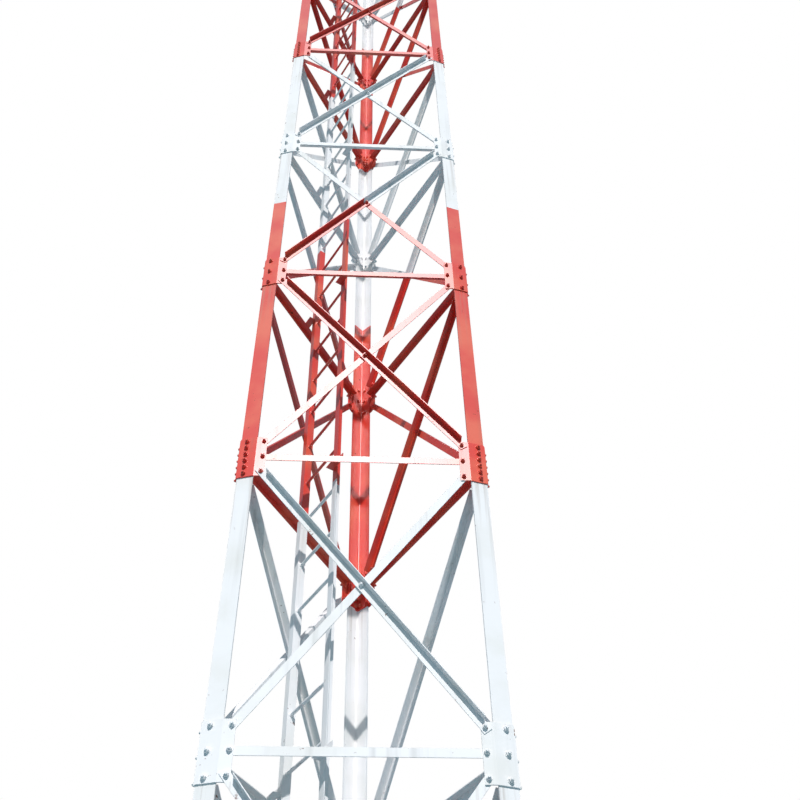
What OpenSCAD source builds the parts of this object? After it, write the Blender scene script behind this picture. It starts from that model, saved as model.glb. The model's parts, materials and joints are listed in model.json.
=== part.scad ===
// Three-legged lattice mast: angle legs on an equilateral plan, bent gusset plates outside the leg
// flanges, crossed angle bracing in every bay, spliced leg sections and a ladder inside one corner.
// Millimetres, +Z up. The origin lies under the middle of the rear leg's foot plate.

/* [Mast] */
// Height of one bay, from strut to strut
bay_h = 2000; // [1600:10:2400]
// Bays in each of the three leg sections
section_bays = 3; // [2:1:4]
// Width of a face, from leg heel to leg heel
face_w = 1550; // [1400:10:1900]
// Height of the lowest struts above the ground
first_level_h = 280; // [240:5:500]
// Length of leg above the topmost gusset plates
leg_top_over = 20; // [5:1:100]
// First bay, counted from 0, where the front face's outer diagonal rises to the right
lean_change_bay = 4; // [0:1:9]

/* [Legs] */
// Flange width of a leg angle
leg_w = 105; // [80:1:120]
// Thickness of a leg angle
leg_t = 10; // [6:1:14]
// Root radius inside a leg angle
leg_root_r = 12; // [4:1:16]
// Open joint between two leg sections
splice_gap = 2; // [1:0.5:6]

/* [Gusset plates] */
// Thickness of the bent gusset plates
gusset_t = 8; // [5:1:14]
// Height of a gusset plate
gusset_h = 335; // [330:1:440]
// Width of the half that lies in the face of the mast
gusset_face_w = 64; // [60:1:110]
// Distance of the bend beyond the toe of the leg flange
bend_clear = 2; // [1:0.5:8]
// Distance of the brace bolts from the bend
brace_bolt_x = 44; // [36:1:46]
// Height of the diagonals' bolts above and below the strut's bolt
brace_bolt_z = 135; // [115:1:145]

/* [Bracing] */
// Flange width of struts and diagonals
brace_w = 50; // [35:1:56]
// Thickness of struts and diagonals
brace_t = 5; // [4:1:8]
// Length of a brace beyond its end bolt
brace_end = 28; // [20:1:32]
// Length over which an outer diagonal's standing flange is cut back
flange_cut = 60; // [0:1:120]

/* [Splices] */
// Distance from the toe of a leg flange to the toe of the splice angle inside it
splice_toe = 15; // [5:1:40]
// Thickness of the angles inside the leg splices
splice_t = 10; // [6:1:14]

/* [Feet] */
// Side of a foot plate
foot_w = 280; // [260:5:360]
// Thickness of a foot plate
foot_t = 20; // [12:1:40]
// Diameter of the circle of anchor holes
anchor_pcd = 280; // [240:5:300]
// Diameter of an anchor hole
anchor_d = 26; // [14:1:32]
// Distance from a leg's heel to the middle of its foot plate
foot_inset = 45; // [30:1:70]

/* [Ladder] */
// Distance of the ladder's plane from the axis of the mast
ladder_r = 333; // [300:1:370]
// Length of a rung between the rails
rung_len = 400; // [300:5:420]
// Diameter of a rung
rung_d = 20; // [14:1:28]
// Height of the lowest rung above the ground
first_rung_h = 575; // [350:5:600]
// Height from rung to rung
rung_pitch = 350; // [250:5:400]
// Flange width of the ladder's rails and brackets
rail_w = 50; // [40:1:60]
// Thickness of the ladder's rails and brackets
rail_t = 5; // [4:1:8]
// Length of a bracket's seat along the top of a strut
bracket_seat = 44; // [30:1:50]
// Length of rail below the lowest bracket and above the topmost one
rail_over = 60; // [20:5:150]

/* [Fits] */
// Clearance between faces that are bolted or welded together
seat = 0.2; // [0.1:0.05:0.5]
/* [Hidden] */
LEG_NAMES = ["left", "right", "rear"];
LEG_ANGLES = [210, 330, 90];
FACE_NAMES = ["front", "right", "left"];
SECTION_NAMES = ["lower", "middle", "upper"];
section_count = len(SECTION_NAMES);
level_count = section_count * section_bays + 1;
top_level = level_count - 1;
// A leg flange stands 15 degrees out of the face, as 90 degrees of angle on a 60 degree corner
bend_angle = (90 - 60) / 2;
heel_r = face_w / sqrt(3);
foot_r = heel_r - foot_inset;
bend_x = (leg_w + bend_clear) * cos(bend_angle) - seat * sin(bend_angle);
// Distances from the axis of the mast to the two sides of the gussets that lie in a face
face_in = face_w / (2 * sqrt(3)) + (leg_w + bend_clear) * sin(bend_angle) + seat * cos(bend_angle);
face_out = face_in + gusset_t;
// The bolts of a bay's diagonals, from the middle of the face
bolt_x = face_w / 2 - bend_x - brace_bolt_x;
diagonal_rise = bay_h - 2 * brace_bolt_z;
diagonal_len = sqrt(pow(2 * bolt_x, 2) + pow(diagonal_rise, 2));
diagonal_angle = atan2(diagonal_rise, 2 * bolt_x);
splice_w = leg_w - leg_t - splice_toe;
ladder_angle = LEG_ANGLES[0];
// A bracket reaches from its rail to the strut beside it, measured at the bracket's middle
bracket_r = ladder_r + rail_w / 2;
strut_toe_r = face_in - seat - brace_w;
bracket_end = (strut_toe_r - bracket_r * cos(60)) / cos(30) + bracket_seat;
bracket_len = bracket_end - rung_len / 2;
bracket_z = brace_w / 2 + seat;
rail_joint_z = bracket_z + rail_w / 2;

function level_z(n) = first_level_h + n * bay_h;
// The side to which the outer diagonal of a face rises in bay n: 1 for right, -1 for left.
// It changes once on the front face, never on the right one and every two bays on the left one.
function outer_lean(face, n) = face == 0
    ? (n < lean_change_bay ? -1 : 1)
    : (face == 1 || floor((n + 1) / 2) % 2 == 0 ? 1 : -1);
function section_levels(s) = [for (n = [s * section_bays : (s + 1) * section_bays - 1]) n];
function levels_with_top(s) = s < section_count - 1 ? section_levels(s) : concat(section_levels(s), [top_level]);
function is_splice(n) = n > 0 && n < top_level && n % section_bays == 0;
splice_levels = [for (n = [0 : top_level]) if (is_splice(n)) n];
function plain_levels(s) = [for (n = levels_with_top(s)) if (!is_splice(n)) n];
function leg_start(s) = s == 0 ? foot_t : level_z(s * section_bays) + splice_gap / 2;
function leg_end(s) = s < section_count - 1
    ? level_z((s + 1) * section_bays) - splice_gap / 2
    : level_z(top_level) + gusset_h / 2 + leg_top_over;
function rail_start(s) = level_z(s * section_bays) + (s == 0 ? bracket_z - rail_over : rail_joint_z + seat);
function rail_end(s) = level_z((s + 1) * section_bays)
    + (s < section_count - 1 ? rail_joint_z - seat : bracket_z + rail_w + rail_over);
function first_rung(s) = ceil((rail_start(s) + rung_d - first_rung_h) / rung_pitch);
function last_rung(s) = floor((rail_end(s) - rung_d - first_rung_h) / rung_pitch);

// Moves children from the axis of the mast to the part's own origin
module on_mast() {
    translate([0, -foot_r, 0]) children();
}

// Sets children at the heel of leg i, with X and Y along its two flanges
module at_leg(i) {
    rotate([0, 0, LEG_ANGLES[i]])
        translate([heel_r, 0, 0])
            rotate([0, 0, 135])
                children();
}

// Turns children from the front face to face i
module at_face(i) {
    rotate([0, 0, 120 * i]) children();
}

// Outline of a rolled angle with its heel at the origin
module angle_outline(w, t, root_r) {
    square([w, t]);
    square([t, w]);
    difference() {
        square(t + root_r);
        translate([t + root_r, t + root_r]) circle(r = root_r, $fn = 48);
    }
}

// Outline of a gusset plate, flat on the leg flange and bent into the face past its toe
module gusset_outline() {
    bend = [leg_w + bend_clear, -seat];
    along = [cos(bend_angle), sin(bend_angle)];
    out = [sin(bend_angle), -cos(bend_angle)];
    corner = bend + gusset_t * [tan(bend_angle / 2), -1];
    polygon([[0, -seat], bend, bend + gusset_face_w * along,
        bend + gusset_face_w * along + gusset_t * out, corner, [0, -seat - gusset_t]]);
}

// A brace along X through its end bolts: a web flat on the gussets and a flange along its upper edge.
// It stands inside the face for side 1 and outside it for side -1.
module brace(bolt_len, side, cut) {
    whole = bolt_len + 2 * brace_end;
    mirror([0, side < 0 ? 1 : 0, 0]) {
        translate([-brace_end, 0, -brace_w / 2]) cube([whole, brace_t, brace_w]);
        translate([cut - brace_end, 0, brace_w / 2 - brace_t]) cube([whole - 2 * cut, brace_w, brace_t]);
    }
}

// One diagonal of bay n in the front face: rises to the right for lean 1, to the left for lean -1
module diagonal(n, lean, outer) {
    mirror([lean < 0 ? 1 : 0, 0, 0])
        translate([-bolt_x, outer ? -face_out - seat : -face_in + seat, level_z(n) + brace_bolt_z])
            rotate([0, -diagonal_angle, 0])
                brace(diagonal_len, outer ? -1 : 1, outer ? flange_cut : 0);
}

// A strut of the front face at level n
module strut(n) {
    translate([-bolt_x, -face_in + seat, level_z(n)]) brace(2 * bolt_x, 1, 0);
}

// The two gusset plates of every leg at level n
module level_gussets(n) {
    for (i = [0 : 2])
        at_leg(i)
            translate([0, 0, level_z(n) - gusset_h / 2])
                for (flip = [0, 1])
                    mirror([flip, -flip, 0])
                        linear_extrude(gusset_h) gusset_outline();
}

module foot(i) {
    color("lightgray")
        on_mast()
            rotate([0, 0, LEG_ANGLES[i]])
                translate([foot_r, 0, 0])
                    rotate([0, 0, 45])
                        difference() {
                            translate([-foot_w / 2, -foot_w / 2, 0]) cube([foot_w, foot_w, foot_t]);
                            for (a = [45 : 90 : 315])
                                rotate([0, 0, a])
                                    translate([anchor_pcd / 2, 0, -1])
                                        cylinder(d = anchor_d, h = foot_t + 2, $fn = 48);
                        }
}

module leg(i, s) {
    color("tomato")
        on_mast()
            at_leg(i)
                translate([0, 0, leg_start(s)])
                    linear_extrude(leg_end(s) - leg_start(s))
                        angle_outline(leg_w, leg_t, leg_root_r);
}

module gussets(levels) {
    color("lightpink")
        on_mast()
            for (n = levels)
                level_gussets(n);
}

module splice_angles(levels) {
    inner = leg_t + seat;
    color("firebrick")
        on_mast()
            for (n = levels, i = [0 : 2])
                at_leg(i)
                    translate([inner, inner, level_z(n) - gusset_h / 2])
                        linear_extrude(gusset_h)
                            difference() {
                                angle_outline(splice_w, splice_t, leg_root_r / 2);
                                rotate([0, 0, 45]) square(leg_root_r, center = true);
                            }
}

module struts(face, s) {
    color("mistyrose")
        on_mast()
            at_face(face)
                for (n = levels_with_top(s))
                    strut(n);
}

module diagonals(face, s) {
    color("salmon")
        on_mast()
            at_face(face)
                for (n = section_levels(s)) {
                    diagonal(n, outer_lean(face, n), true);
                    diagonal(n, -outer_lean(face, n), false);
                }
}

// Sets children in the ladder's plane, with X away from the axis of the mast and Y along the rungs
module at_ladder() {
    rotate([0, 0, ladder_angle]) translate([ladder_r, 0, 0]) children();
}

// The rails of a ladder section, with their heels to the rungs and one flange away from the leg
module ladder_rails(s) {
    color("coral")
        on_mast()
            at_ladder()
                for (side = [-1, 1])
                    mirror([0, side < 0 ? 1 : 0, 0])
                        translate([0, rung_len / 2, rail_start(s)])
                            rotate([0, 0, 90])
                                linear_extrude(rail_end(s) - rail_start(s))
                                    angle_outline(rail_w, rail_t, rail_t);
}

module ladder_rungs(s) {
    color("brown")
        on_mast()
            at_ladder()
                for (n = [first_rung(s) : last_rung(s)])
                    translate([-rail_w / 2, seat - rung_len / 2, first_rung_h + n * rung_pitch])
                        rotate([-90, 0, 0])
                            cylinder(d = rung_d, h = rung_len - 2 * seat, $fn = 32);
}

// Short angles that carry the ladder's rails on the tops of the struts beside them
module ladder_brackets(s) {
    color("indianred")
        on_mast()
            at_ladder()
                for (n = levels_with_top(s), side = [-1, 1])
                    mirror([0, side < 0 ? 1 : 0, 0])
                        translate([seat, rung_len / 2, level_z(n) + bracket_z]) {
                            cube([rail_t, bracket_len, rail_w]);
                            cube([rail_w, bracket_len, rail_t]);
                        }
}

for (i = [0 : 2]) {
    foot(i);
    for (s = [0 : section_count - 1]) {
        leg(i, s);
        struts(i, s);
        diagonals(i, s);
    }
}
for (s = [0 : section_count - 1]) {
    gussets(plain_levels(s));
    ladder_rails(s);
    ladder_rungs(s);
    ladder_brackets(s);
}
gussets(splice_levels);  // splice_gussets
splice_angles(splice_levels);
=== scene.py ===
import json
import math

import bpy
import numpy as np
from mathutils import Matrix


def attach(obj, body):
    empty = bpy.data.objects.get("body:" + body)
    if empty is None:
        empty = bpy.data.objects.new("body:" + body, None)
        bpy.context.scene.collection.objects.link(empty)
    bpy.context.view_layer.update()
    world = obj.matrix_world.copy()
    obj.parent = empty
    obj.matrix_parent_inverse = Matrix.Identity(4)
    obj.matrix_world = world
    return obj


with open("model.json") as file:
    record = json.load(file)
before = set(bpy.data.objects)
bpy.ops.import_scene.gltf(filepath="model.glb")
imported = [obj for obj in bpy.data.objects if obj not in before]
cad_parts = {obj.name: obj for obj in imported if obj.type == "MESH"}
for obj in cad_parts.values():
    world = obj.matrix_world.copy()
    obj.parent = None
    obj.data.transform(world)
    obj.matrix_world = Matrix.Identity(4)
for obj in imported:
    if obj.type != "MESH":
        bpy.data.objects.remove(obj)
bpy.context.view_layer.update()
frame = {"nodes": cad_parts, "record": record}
nodes = frame["nodes"]
scene = bpy.context.scene
print("frame: loaded", len(nodes), "nodes")

# Sizes that the looks share with the CAD frame, in metres and degrees
mast = {
    "bay": 2.0,
    "firstLevel": 0.28,
    "levels": 10,
    "sections": ("lower", "middle", "upper"),
    "sectionBays": 3,
    "faceWidth": 1.55,
    "footInset": 0.045,
    "footThick": 0.02,
    "anchorCircle": 0.28,
    "anchorCount": 4,
    "legWidth": 0.105,
    "legThick": 0.01,
    "legRoot": 0.012,
    "legRootMiddle": 0.0035,
    "gussetThick": 0.008,
    "gussetHeight": 0.335,
    "bend": 15,
    "bendClear": 0.002,
    "spliceThick": 0.01,
    "braceBoltX": 0.044,
    "braceBoltZ": 0.135,
    "braceWidth": 0.05,
    "braceThick": 0.005,
    "leanChangeBay": 4,
    "ladderRadius": 0.333,
    "rungFirst": 0.575,
    "rungPitch": 0.35,
    "rungCount": 51,
    "rungLength": 0.4,
    "railWidth": 0.05,
    "railThick": 0.005,
    "bracketSeat": 0.044,
    "seat": 0.0002,
}
bendAngle = math.radians(mast["bend"])
bendReach = mast["legWidth"] + mast["bendClear"]
heelRadius = mast["faceWidth"] / math.sqrt(3)
axisY = mast["footInset"] - heelRadius
bendX = bendReach * math.cos(bendAngle) - mast["seat"] * math.sin(bendAngle)
faceIn = heelRadius / 2 + bendReach * math.sin(bendAngle) + mast["seat"] * math.cos(bendAngle)
faceOut = faceIn + mast["gussetThick"]
boltX = mast["faceWidth"] / 2 - bendX - mast["braceBoltX"]
legAngles = [math.radians(a) for a in (210, 330, 90)]
faceAngles = [face * 2 * math.pi / 3 for face in range(3)]
ladderTurn = legAngles[0] + math.pi / 2


def levelZ(n):
    return mast["firstLevel"] + n * mast["bay"]


def sectionOf(n):
    return min(n // mast["sectionBays"], len(mast["sections"]) - 1)


def isSplice(n):
    return 0 < n < mast["levels"] - 1 and n % mast["sectionBays"] == 0


def outerLean(face, n):
    # The side to which a face's outer diagonal rises in bay n: 1 for right, -1 for left
    front = -1 if n < mast["leanChangeBay"] else 1
    left = -1 if (n + 1) // 2 % 2 else 1
    return (front, 1, left)[face]


class Wire:
    # A socket of a node tree: arithmetic on it adds Math nodes, node() adds any other kind
    def __init__(self, tree, socket):
        self.tree = tree
        self.socket = socket

    def node(self, kind, settings, values, out=0):
        made = self.tree.nodes.new(kind)
        for key, value in settings.items():
            setattr(made, key, value)
        for key, value in values.items():
            if isinstance(value, Wire):
                self.tree.links.new(value.socket, made.inputs[key])
            else:
                made.inputs[key].default_value = value
        return Wire(self.tree, made.outputs[out])

    def math(self, operation, first, second):
        return self.node("ShaderNodeMath", {"operation": operation}, {0: first, 1: second})

    def __add__(self, other):
        return self.math("ADD", self, other)

    def __radd__(self, other):
        return self.math("ADD", other, self)

    def __sub__(self, other):
        return self.math("SUBTRACT", self, other)

    def __rsub__(self, other):
        return self.math("SUBTRACT", other, self)

    def __mul__(self, other):
        return self.math("MULTIPLY", self, other)

    def __rmul__(self, other):
        return self.math("MULTIPLY", other, self)

    def rise(self, low, high):
        # 0 below low, 1 above high, smooth between them
        values = {"Value": self, "From Min": low, "From Max": high}
        return self.node("ShaderNodeMapRange", {"interpolation_type": "SMOOTHSTEP"}, values)

    def stretched(self, x, y, z):
        return self.node("ShaderNodeVectorMath", {"operation": "MULTIPLY"}, {0: self, 1: (x, y, z)})

    def shifted(self, x, y, z):
        return self.node("ShaderNodeVectorMath", {"operation": "ADD"}, {0: self, 1: (x, y, z)})

    def noise(self, scale, detail):
        return self.node("ShaderNodeTexNoise", {}, {"Vector": self, "Scale": scale, "Detail": detail})

    def mixed(self, first, second):
        # This wire as the share of the second colour over the first
        values = {0: self, 6: first, 7: second}
        return self.node("ShaderNodeMix", {"data_type": "RGBA", "clamp_factor": True}, values, 2)


def newMaterial(name):
    material = bpy.data.materials.new(name)
    material.use_nodes = True
    tree = material.node_tree
    tree.nodes.clear()
    coordinates = tree.nodes.new("ShaderNodeTexCoord")
    return material, tree, Wire(tree, coordinates.outputs["Object"])


def setSurface(tree, shader):
    output = tree.nodes.new("ShaderNodeOutputMaterial")
    tree.links.new(shader.socket, output.inputs["Surface"])


# Paint shared by every painted piece: red and white bands with a gloss on the red
paint = {
    "red": (0.775, 0.03, 0.012, 1),
    "redFaded": (0.84, 0.11, 0.045, 1),
    "white": (0.895, 0.865, 0.86, 1),
    "whiteStained": (0.83, 0.8, 0.77, 1),
    "grime": (0.11, 0.1, 0.085, 1),
    "dust": (0.42, 0.38, 0.33, 1),
    "rust": (0.17, 0.055, 0.02, 1),
    "weep": (0.3, 0.2, 0.13, 1),
    "bandRepeat": 6.0,
    "redBays": 1.5,
    "lowestBand": 0.01,
    "edgeWobble": 0.012,
    "edgeSoft": 0.002,
    "roughness": 0.28,
    "whiteRougher": 0.26,
    "shine": 0.4,
    "glossRoughness": 0.42,
    "glossIndex": 1.62,
}
# Wear: each noise is a scale and a detail, each share the values between which it sets in
wear = {
    "edgeNoise": (6.0, 3.0),
    "mottleNoise": (2.6, 5.0),
    "fadeShare": (0.42, 0.68),
    "streakStretch": (16, 16, 0.8),
    "streakNoise": (1.0, 5.0),
    "runShare": (0.52, 0.8),
    "threadStretch": (45, 45, 0.9),
    "threadNoise": (1.0, 4.0),
    "threadShare": (0.5, 0.68),
    "weepFrom": 1.1,
    "dustTilt": (0.6, 1.0),
    "dustShare": (0.35, 0.6),
    "chipNoise": (38.0, 3.0),
    "chipShare": (0.675, 0.705),
    "chipAreaNoise": (3.1, 2.0),
    "chipAreaShare": (0.5, 0.64),
    "brushStretch": (150, 150, 7),
    "brushNoise": (1.0, 3.0),
    "peelNoise": (260.0, 2.0),
    "peelHeight": 0.1,
    "brushHeight": 0.5,
    "chipDepth": 0.6,
    "bumpStrength": 0.22,
    "bumpDistance": 0.002,
}
# What each kind of wear adds to the roughness
rougher = {"mottle": 0.16, "brush": 0.12, "runs": 0.3, "weeps": 0.5, "chips": 0.4, "dust": 0.3}


def bandedPaint(name, look):
    # Red from redFrom above a splice level up to the middle of the second bay, then white to the next splice
    material, tree, place = newMaterial(name)
    place = place.shifted(*look["shift"])
    geometry = place.node("ShaderNodeNewGeometry", {}, {}, "Normal")
    up = geometry.node("ShaderNodeSeparateXYZ", {}, {0: geometry}, 2)
    height = place.node("ShaderNodeSeparateXYZ", {}, {0: place}, 2) - look["shift"][2]
    wobble = (place.noise(*wear["edgeNoise"]) - 0.5) * paint["edgeWobble"]
    start = mast["firstLevel"] + look["redFrom"]
    wavy = place.math("MAXIMUM", height + wobble, start + paint["lowestBand"]) - start
    phase = place.math("FLOORED_MODULO", wavy, paint["bandRepeat"])
    whiteAt = paint["redBays"] * mast["bay"] - look["redFrom"]
    white = phase.rise(whiteAt - paint["edgeSoft"], whiteAt + paint["edgeSoft"])

    mottle = place.noise(*wear["mottleNoise"])
    fade = mottle.rise(*wear["fadeShare"])
    redColour = fade.mixed(paint["red"], paint["redFaded"])
    whiteColour = fade.mixed(paint["white"], paint["whiteStained"])
    colour = white.mixed(redColour, whiteColour)

    # Grime in vertical runs, and weeps that start under each plate and thin out on the way down
    streak = place.stretched(*wear["streakStretch"]).noise(*wear["streakNoise"])
    runs = streak.rise(*wear["runShare"]) * look["runs"]
    colour = runs.mixed(colour, paint["grime"])
    plateFoot = mast["firstLevel"] - mast["gussetHeight"] / 2
    abovePlate = place.math("FLOORED_MODULO", height - plateFoot, mast["bay"])
    thread = place.stretched(*wear["threadStretch"]).noise(*wear["threadNoise"])
    weeps = thread.rise(*wear["threadShare"]) * abovePlate.rise(wear["weepFrom"], mast["bay"]) * look["weeps"]
    colour = weeps.mixed(colour, paint["weep"])

    # Dust on faces that look up, and chips down to the rust in some areas
    dust = up.rise(*wear["dustTilt"]) * mottle.rise(*wear["dustShare"]) * look["dust"]
    colour = dust.mixed(colour, paint["dust"])
    chipArea = place.noise(*wear["chipAreaNoise"]).rise(*wear["chipAreaShare"])
    chips = place.noise(*wear["chipNoise"]).rise(*wear["chipShare"]) * chipArea * look["chips"]
    colour = chips.mixed(colour, paint["rust"])

    brush = place.stretched(*wear["brushStretch"]).noise(*wear["brushNoise"])
    rough = mottle * rougher["mottle"] + brush * rougher["brush"] + runs * rougher["runs"]
    rough = rough + weeps * rougher["weeps"] + chips * rougher["chips"] + dust * rougher["dust"]
    rough = rough + white * paint["whiteRougher"] + paint["roughness"]
    peel = place.noise(*wear["peelNoise"]) * wear["peelHeight"]
    relief = peel + brush * wear["brushHeight"] - chips * wear["chipDepth"]
    bump = {"Strength": wear["bumpStrength"], "Distance": wear["bumpDistance"], "Height": relief}
    values = {
        "Base Color": colour,
        "Roughness": rough,
        "Normal": place.node("ShaderNodeBump", {}, bump),
        "Specular IOR Level": paint["shine"],
        "Coat Weight": (1.0 - white) * (1.0 - chips) * look["gloss"],
        "Coat Roughness": paint["glossRoughness"],
        "Coat IOR": paint["glossIndex"],
    }
    setSurface(tree, place.node("ShaderNodeBsdfPrincipled", {}, values))
    return material


# Legs and plates change colour at the foot of a splice plate, bracing and ladder a little below its level
plateEdge = -mast["gussetHeight"] / 2
braceEdge = -0.08
slotLooks = {
    "leg_paint": {
        "shift": (0, 0, 0), "redFrom": plateEdge,
        "runs": 0.16, "weeps": 0.3, "dust": 0.3, "chips": 0.8, "gloss": 1.0,
    },
    "plate_paint": {
        "shift": (3.1, 1.7, 5.2), "redFrom": plateEdge,
        "runs": 0.24, "weeps": 0.2, "dust": 0.4, "chips": 0.9, "gloss": 0.78,
    },
    "brace_paint": {
        "shift": (7.4, 2.9, 1.3), "redFrom": braceEdge,
        "runs": 0.22, "weeps": 0.16, "dust": 0.45, "chips": 0.8, "gloss": 1.0,
    },
    "ladder_paint": {
        "shift": (2.2, 8.1, 4.6), "redFrom": braceEdge,
        "runs": 0.26, "weeps": 0.22, "dust": 0.4, "chips": 1.0, "gloss": 1.0,
    },
    "foot_paint": {
        "shift": (9.3, 5.5, 0.4), "redFrom": plateEdge,
        "runs": 0.5, "weeps": 0.0, "dust": 0.7, "chips": 1.0, "gloss": 1.0,
    },
    "bolt_zinc": {
        "shift": (4.9, 6.6, 2.7), "redFrom": plateEdge,
        "runs": 0.4, "weeps": 0.1, "dust": 0.4, "chips": 1.0, "gloss": 1.0,
    },
}
# Slightly rounded edges on the rolled and sheared steel
edge = {"radius": 0.0014, "segments": 2, "sharpFrom": 40}
materials = {name: bandedPaint(name, look) for name, look in slotLooks.items()}
for row in frame["record"]["subparts"]:
    piece = nodes[row["node"]]
    piece.data.materials.clear()
    piece.data.materials.append(materials[row["material_slot"]])
    rounding = piece.modifiers.new("rounded edges", "BEVEL")
    rounding.width = edge["radius"]
    rounding.segments = edge["segments"]
    rounding.limit_method = "ANGLE"
    rounding.angle_limit = math.radians(edge["sharpFrom"])
print("paint:", len(materials), "materials")


def turned(profile, sides):
    # Stations (radius, height) revolved about Z: column k of a station stands at angle 2 pi k / sides
    radius, height = np.array(profile, float).T
    angle = 2 * np.pi * np.arange(sides) / sides
    x = np.outer(radius, np.cos(angle))
    y = np.outer(radius, np.sin(angle))
    z = np.repeat(height[:, None], sides, axis=1)
    points = np.stack([x, y, z], axis=-1).reshape(-1, 3)
    row, column = np.meshgrid(np.arange(len(radius) - 1), np.arange(sides), indexing="ij")
    corner = row * sides + column
    beside = row * sides + (column + 1) % sides
    quads = np.stack([corner, beside, beside + sides, corner + sides], axis=-1).reshape(-1, 4)
    cap = [(len(radius) - 1) * sides + k for k in range(sides)]
    return points, quads.tolist() + [cap]


def joined(*shapes):
    # Several shapes as one: each one's faces count on from the points before it
    points, faces, count = [], [], 0
    for some, ring in shapes:
        points.append(some)
        faces += [[i + count for i in face] for face in ring]
        count += len(some)
    return np.concatenate(points), faces


def copies(shape, frames):
    # A shape set down once in every frame: axes times point plus position
    points, faces = shape
    frames = np.array(frames)
    placed = np.einsum("nij,pj->npi", frames[:, :, :3], points) + frames[:, None, :, 3]
    offset = np.arange(len(frames)) * len(points)
    allFaces = [[i + int(o) for i in face] for o in offset for face in faces]
    return placed.reshape(-1, 3), allFaces


def addPiece(name, shape, slotName, smooth=False):
    points, faces = shape
    mesh = bpy.data.meshes.new(name)
    mesh.from_pydata(points.tolist(), [], faces)
    mesh.update()
    mesh.polygons.foreach_set("use_smooth", np.full(len(mesh.polygons), smooth))
    mesh.materials.append(materials[slotName])
    piece = bpy.data.objects.new(name, mesh)
    scene.collection.objects.link(piece)
    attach(piece, "root")


def boltFrame(position, axis, turn=0.0):
    # Axes and position that stand a bolt's Z along the axis, turned about it
    axis = np.array(axis, float)
    side = np.cross(axis, (0.0, 0.0, 1.0)) if abs(axis[2]) < 0.9 else np.array([1.0, 0.0, 0.0])
    side = side / np.linalg.norm(side)
    other = np.cross(axis, side)
    first = math.cos(turn) * side + math.sin(turn) * other
    second = np.cross(axis, first)
    return np.column_stack([first, second, axis, position])


def facePoint(angle, x, y, z):
    # A point of the front face's frame, turned about the mast's axis into the part's frame
    c, s = math.cos(angle), math.sin(angle)
    return np.array([c * x - s * y, s * x + c * y + axisY, z])


def faceWay(angle, x, y):
    # A level direction of the front face's frame, turned in the same way
    return facePoint(angle, x, y, 0) - np.array([0, axisY, 0])


def legPoint(angle, inset, z):
    # A point on a leg's radius, inset from its heel
    reach = heelRadius - inset
    return np.array([reach * math.cos(angle), reach * math.sin(angle) + axisY, z])


def flangeWays(angle):
    # Directions in which a leg's two flanges run from its heel
    turns = (angle + 0.75 * math.pi, angle + 1.25 * math.pi)
    return [np.array([math.cos(t), math.sin(t), 0]) for t in turns]


# Bolts: a nut and thread end outside, a head inside, each on a round washer
bolt = {
    "washerRadius": 0.017,
    "washerHeight": 0.003,
    "roundSides": 12,
    "nutRadius": 0.0139,
    "nutHeight": 0.013,
    "headHeight": 0.010,
    "hexSides": 6,
    "chamfer": 0.0015,
    "chamferShare": 0.88,
    "threadRadius": 0.008,
    "threadEnd": 0.025,
    "tipShare": 0.8,
    "ladderScale": 0.75,
    "anchorScale": 1.5,
    "legBoltAcross": 0.0443,
    "plainRows": (-0.138, 0.0, 0.138),
    "spliceRows": (-0.1375, -0.0825, -0.0275, 0.0275, 0.0825, 0.1375),
    "seatBoltInset": 0.03,
    "seatBoltOut": 0.004,
    "railBoltAcross": 0.028,
    "railBoltUp": 0.029,
    "packingRadius": 0.022,
    "packingFill": 0.9,
}
# How much each bolt's hexagon is turned from the one before it
turnStep = {"leg": 0.9, "face": 0.7, "crossing": 0.5, "seat": 0.4, "rail": 0.3, "anchor": 0.4}


def hexShape(height, scale, threaded=False):
    # A washer with a chamfered hexagon on it, and a thread's end on the hexagon of a nut
    seatZ, top = bolt["washerHeight"], bolt["washerHeight"] + height
    washer = [(bolt["washerRadius"], 0), (bolt["washerRadius"], seatZ)]
    wide, chamfer = bolt["nutRadius"], bolt["chamfer"]
    stations = [(wide, seatZ), (wide, top - chamfer), (bolt["chamferShare"] * wide, top)]
    if threaded:
        thread, end = bolt["threadRadius"], bolt["threadEnd"]
        stations += [(thread, top), (thread, end - chamfer), (bolt["tipShare"] * thread, end)]
    points, faces = joined(turned(washer, bolt["roundSides"]), turned(stations, bolt["hexSides"]))
    return points * scale, faces


def legFrames(n, inner):
    # Bolts of the leg halves at level n: nuts outside the gussets, heads inside the leg or splice angle
    rows = bolt["spliceRows"] if isSplice(n) else bolt["plainRows"]
    stack = mast["legThick"] + (mast["spliceThick"] + mast["seat"] if isSplice(n) else 0)
    depth = stack if inner else -mast["seat"] - mast["gussetThick"]
    found = []
    for angle in legAngles:
        ways = flangeWays(angle)
        for along, inward in (ways, ways[::-1]):
            for k, dz in enumerate(rows):
                spot = legPoint(angle, 0, levelZ(n) + dz) + bolt["legBoltAcross"] * along + depth * inward
                found.append(boltFrame(spot, inward if inner else -inward, turnStep["leg"] * k + n))
    return found


def faceFrames(n, inner):
    # Bolts of the face halves at level n: the strut's, and those of the diagonals above and below it
    found = []
    plate = mast["braceThick"] + mast["seat"]
    for face, angle in enumerate(faceAngles):
        for side in (-1, 1):
            for row in (-1, 0, 1):
                bayIndex = n if row == 1 else n - 1
                if row and not 0 <= bayIndex < mast["levels"] - 1:
                    continue
                lean = outerLean(face, bayIndex)
                outer = row != 0 and side == (-lean if row == 1 else lean)
                out = faceOut + (plate if outer else 0)
                back = faceIn - (0 if outer else plate)
                height = levelZ(n) + row * mast["braceBoltZ"]
                spot = facePoint(angle, side * boltX, -back if inner else -out, height)
                axis = faceWay(angle, 0, 1 if inner else -1)
                found.append(boltFrame(spot, axis, turnStep["face"] * row + n))
    return found


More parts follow.
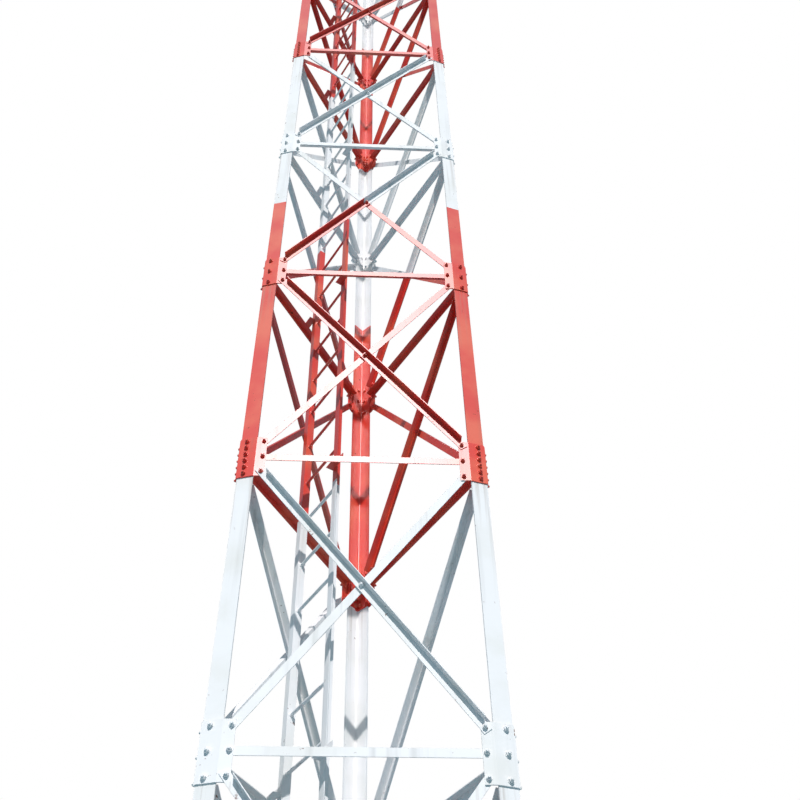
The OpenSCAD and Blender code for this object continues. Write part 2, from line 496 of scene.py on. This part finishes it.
def crossFrames(bays, depth, sign):
    # The crossings of the diagonals at a depth from the mast's axis, facing in or out
    found = []
    for n in bays:
        for face, angle in enumerate(faceAngles):
            spot = facePoint(angle, 0, -depth, levelZ(n) + mast["bay"] / 2)
            found.append(boltFrame(spot, faceWay(angle, 0, sign), turnStep["crossing"] * n + face))
    return found


def ladderFrames(n):
    # Bolts of a ladder bracket: one down through each seat, one through each rail
    found = []
    bracketZ = levelZ(n) + mast["braceWidth"] / 2 + mast["seat"]
    strutToe = faceIn - mast["seat"] - mast["braceWidth"]
    middle = mast["ladderRadius"] + mast["railWidth"] / 2
    half = (strutToe - middle * math.cos(math.pi / 3)) / math.cos(math.pi / 6) + mast["bracketSeat"]
    seatX, seatY = half - bolt["seatBoltInset"], -middle - bolt["seatBoltOut"]
    railX, railY = mast["rungLength"] / 2 + bolt["railBoltAcross"], mast["railThick"] - mast["ladderRadius"]
    for side in (-1, 1):
        seatSpot = facePoint(ladderTurn, side * seatX, seatY, bracketZ + mast["railThick"])
        found.append(boltFrame(seatSpot, (0, 0, 1), turnStep["seat"] * n))
        railSpot = facePoint(ladderTurn, side * railX, railY, bracketZ + bolt["railBoltUp"])
        found.append(boltFrame(railSpot, faceWay(ladderTurn, 0, 1), turnStep["rail"] * n))
    return found


outerNut = hexShape(bolt["nutHeight"], 1.0, True)
innerHead = hexShape(bolt["headHeight"], 1.0)
ladderHead = hexShape(bolt["headHeight"], bolt["ladderScale"])
packingSeat = bolt["packingFill"] * mast["seat"]
packingHeight = mast["gussetThick"] + 2 * packingSeat
packing = turned([(bolt["packingRadius"], 0), (bolt["packingRadius"], packingHeight)], bolt["roundSides"])
for section, sectionName in enumerate(mast["sections"]):
    nuts, heads, ladderHeads = [], [], []
    for n in range(mast["levels"]):
        if sectionOf(n) == section:
            nuts += legFrames(n, False) + faceFrames(n, False)
            heads += legFrames(n, True) + faceFrames(n, True)
            ladderHeads += ladderFrames(n)
    bays = range(section * mast["sectionBays"], (section + 1) * mast["sectionBays"])
    nuts += crossFrames(bays, faceOut + mast["seat"] + mast["braceThick"], -1)
    heads += crossFrames(bays, faceIn - mast["seat"] - mast["braceThick"], 1)
    between = crossFrames(bays, faceOut + packingSeat, 1)
    kinds = ((outerNut, nuts), (innerHead, heads), (ladderHead, ladderHeads), (packing, between))
    addPiece("bolts_" + sectionName, joined(*(copies(*kind) for kind in kinds)), "bolt_zinc")
    print("bolts:", sectionName, len(nuts), "nuts")

# Anchor nuts on the foot plates
anchors = []
for angle in legAngles:
    centre = legPoint(angle, mast["footInset"], mast["footThick"])
    for k in range(mast["anchorCount"]):
        turn = angle + k * 2 * math.pi / mast["anchorCount"]
        away = np.array([math.cos(turn), math.sin(turn), 0]) * mast["anchorCircle"] / 2
        anchors.append(boltFrame(centre + away, (0, 0, 1), turnStep["anchor"] * k + angle))
addPiece("anchor_nuts", copies(hexShape(bolt["nutHeight"], bolt["anchorScale"], True), anchors), "bolt_zinc")

# Weld beads: round each leg on its foot plate, and round both ends of every rung
weld = {
    "legSize": 0.009,
    "step": 0.002,
    "ripple": 0.1,
    "ripplePitch": 0.007,
    "rings": 5,
    "rungProfile": [(0.0158, 0.0), (0.0148, 0.0028), (0.0104, 0.006)],
    "rungSides": 10,
}


def beadShape(corners, base):
    # Quarter-round bead outside a closed outline: station u along it, angle v from the plate up to the wall,
    # at outline(u) + away(u) * size * cos(v), height size * sin(v), with the size rippled along u
    edges = np.roll(corners, -1, axis=0) - corners
    lengths = np.linalg.norm(edges, axis=1)
    aways = np.stack([edges[:, 1], -edges[:, 0]], axis=1) / lengths[:, None]
    before = np.roll(aways, 1, axis=0)
    mitres = (aways + before) / (1 + np.sum(aways * before, axis=1))[:, None]
    spots, directions = [], []
    for corner, side, length, away, mitre in zip(corners, edges, lengths, aways, mitres):
        share = np.linspace(0, 1, max(2, round(length / weld["step"])), endpoint=False)
        spots.append(corner + share[:, None] * side)
        directions.append(np.where(share[:, None] == 0, mitre, away))
    spots, directions = np.concatenate(spots), np.concatenate(directions)
    along = np.arange(len(spots)) * weld["step"]
    size = weld["legSize"] * (1 + weld["ripple"] * np.sin(2 * np.pi * along / weld["ripplePitch"]))
    angle = np.linspace(0, np.pi / 2, weld["rings"])
    flat = spots[:, None] + directions[:, None] * (size[:, None] * np.cos(angle))[..., None]
    height = base + size[:, None] * np.sin(angle)
    points = np.concatenate([flat, height[..., None]], axis=-1).reshape(-1, 3)
    u, v = np.meshgrid(np.arange(len(spots)), np.arange(weld["rings"] - 1), indexing="ij")
    here = u * weld["rings"] + v
    there = (u + 1) % len(spots) * weld["rings"] + v
    return points, np.stack([here, there, there + 1, here + 1], axis=-1).reshape(-1, 4).tolist()


wide, thick = mast["legWidth"], mast["legThick"]
rootEnd, rootMiddle = thick + mast["legRoot"], thick + mast["legRootMiddle"]
root = [(rootEnd, thick), (rootMiddle, rootMiddle), (thick, rootEnd)]
legOutline = np.array([(0, 0), (wide, 0), (wide, thick), *root, (thick, wide), (0, wide)])
beads = []
for angle in legAngles:
    outline = legPoint(angle, 0, 0)[:2] + legOutline @ np.array(flangeWays(angle))[:, :2]
    beads.append(beadShape(outline, mast["footThick"]))
addPiece("foot_welds", joined(*beads), "foot_paint", True)
rungEnds = []
rungY = mast["railWidth"] / 2 - mast["ladderRadius"]
for n in range(mast["rungCount"]):
    for side in (-1, 1):
        height = mast["rungFirst"] + n * mast["rungPitch"]
        spot = facePoint(ladderTurn, side * mast["rungLength"] / 2, rungY, height)
        rungEnds.append(boltFrame(spot, faceWay(ladderTurn, -side, 0)))
rungBead = turned(weld["rungProfile"], weld["rungSides"])
addPiece("rung_welds", copies(rungBead, rungEnds), "ladder_paint", True)
print("welds:", len(beads), "legs,", len(rungEnds), "rung ends")

# Pale floor that throws little light back up and fades to white far from the mast
floorLook = {
    "size": 160.0,
    "height": -0.002,
    "colour": (0.92, 0.82, 0.79, 1),
    "cloudColour": (0.89, 0.79, 0.76, 1),
    "cloudNoise": (0.7, 4.0),
    "cloudShare": (0.3, 0.7),
    "bounce": (0.17, 0.285, 0.33, 1),
    "roughness": 0.9,
    "fade": (6.0, 45.0),
}
white = (1, 1, 1, 1)
material, tree, place = newMaterial("floor")
seen = place.node("ShaderNodeLightPath", {}, {}, "Is Camera Ray")
cloud = place.noise(*floorLook["cloudNoise"]).rise(*floorLook["cloudShare"])
shown = cloud.mixed(floorLook["colour"], floorLook["cloudColour"])
groundLook = {
    "Base Color": seen.mixed(floorLook["bounce"], shown),
    "Roughness": floorLook["roughness"],
    "Specular IOR Level": 0.0,
}
ground = place.node("ShaderNodeBsdfPrincipled", {}, groundLook)
blank = place.node("ShaderNodeEmission", {}, {"Color": white, "Strength": 1.0})
distance = place.node("ShaderNodeVectorMath", {"operation": "LENGTH"}, {0: place}, "Value")
fade = distance.rise(*floorLook["fade"]) * seen
setSurface(tree, place.node("ShaderNodeMixShader", {}, {0: fade, 1: ground, 2: blank}))
half = floorLook["size"] / 2
corners = [(x * half, y * half, floorLook["height"]) for x, y in ((-1, -1), (1, -1), (1, 1), (-1, 1))]
floorMesh = bpy.data.meshes.new("floor")
floorMesh.from_pydata(corners, [], [(0, 1, 2, 3)])
floorMesh.materials.append(material)
floor = bpy.data.objects.new("floor", floorMesh)
scene.collection.objects.link(floor)

# Light: a sun behind the camera, whose glare lies on the front face, an even cool sky and a weak fill
# from behind. Elevation and turn are in degrees, spread in radians
light = {
    "sun": {"strength": 3.25, "elevation": 40.2, "turn": -1.0, "spread": math.radians(0.8)},
    "fill": {"strength": 1.2, "elevation": 35, "turn": 165, "spread": 0.5},
    "sky": 0.38,
    "skyColour": (0.64, 0.83, 1.0, 1),
}
for name in ("sun", "fill"):
    look = light[name]
    lampData = bpy.data.lights.new(name, "SUN")
    lampData.energy = look["strength"]
    lampData.angle = look["spread"]
    lamp = bpy.data.objects.new(name, lampData)
    # A sun's -Z points down along its rays: turn 0 comes from -Y
    tilt = Matrix.Rotation(math.radians(90 - look["elevation"]), 4, "X")
    lamp.matrix_world = Matrix.Rotation(math.radians(look["turn"]), 4, "Z") @ tilt
    scene.collection.objects.link(lamp)
world = bpy.data.worlds.new("studio")
world.use_nodes = True
tree = world.node_tree
tree.nodes.clear()
seen = Wire(tree, tree.nodes.new("ShaderNodeLightPath").outputs["Is Camera Ray"])
strength = seen * (1.0 - light["sky"]) + light["sky"]
tint = seen.mixed(light["skyColour"], white)
background = seen.node("ShaderNodeBackground", {}, {"Color": tint, "Strength": strength})
output = tree.nodes.new("ShaderNodeOutputWorld")
tree.links.new(background.socket, output.inputs["Surface"])
scene.world = world

# Camera fitted to the photo: low in front of the mast, looking up
lens = {
    "place": (-0.0738, -6.0541, 1.6209),
    "yaw": 3.8155,
    "pitch": 47.7792,
    "roll": -1.3164,
    "focal": 47.4538,
    "sensor": 36,
    "farthest": 500,
    "pixels": 800,
}
yaw, pitch, roll = (math.radians(lens[k]) for k in ("yaw", "pitch", "roll"))
level = np.array([math.sin(yaw), math.cos(yaw), 0])
right = np.array([math.cos(yaw), -math.sin(yaw), 0])
zenith = np.array([0, 0, 1.0])
forward = math.cos(pitch) * level + math.sin(pitch) * zenith
upward = -math.sin(pitch) * level + math.cos(pitch) * zenith
across = math.cos(roll) * right + math.sin(roll) * upward
upward = -math.sin(roll) * right + math.cos(roll) * upward
cameraData = bpy.data.cameras.new("camera")
cameraData.sensor_width = lens["sensor"]
cameraData.lens = lens["focal"]
cameraData.clip_end = lens["farthest"]
camera = bpy.data.objects.new("camera", cameraData)
axes = np.column_stack([across, upward, -forward, lens["place"]])
camera.matrix_world = Matrix([*axes.tolist(), [0, 0, 0, 1]])
scene.collection.objects.link(camera)
scene.camera = camera
scene.render.resolution_x = lens["pixels"]
scene.render.resolution_y = lens["pixels"]
scene.view_settings.view_transform = "Standard"
print("studio: light and camera set")
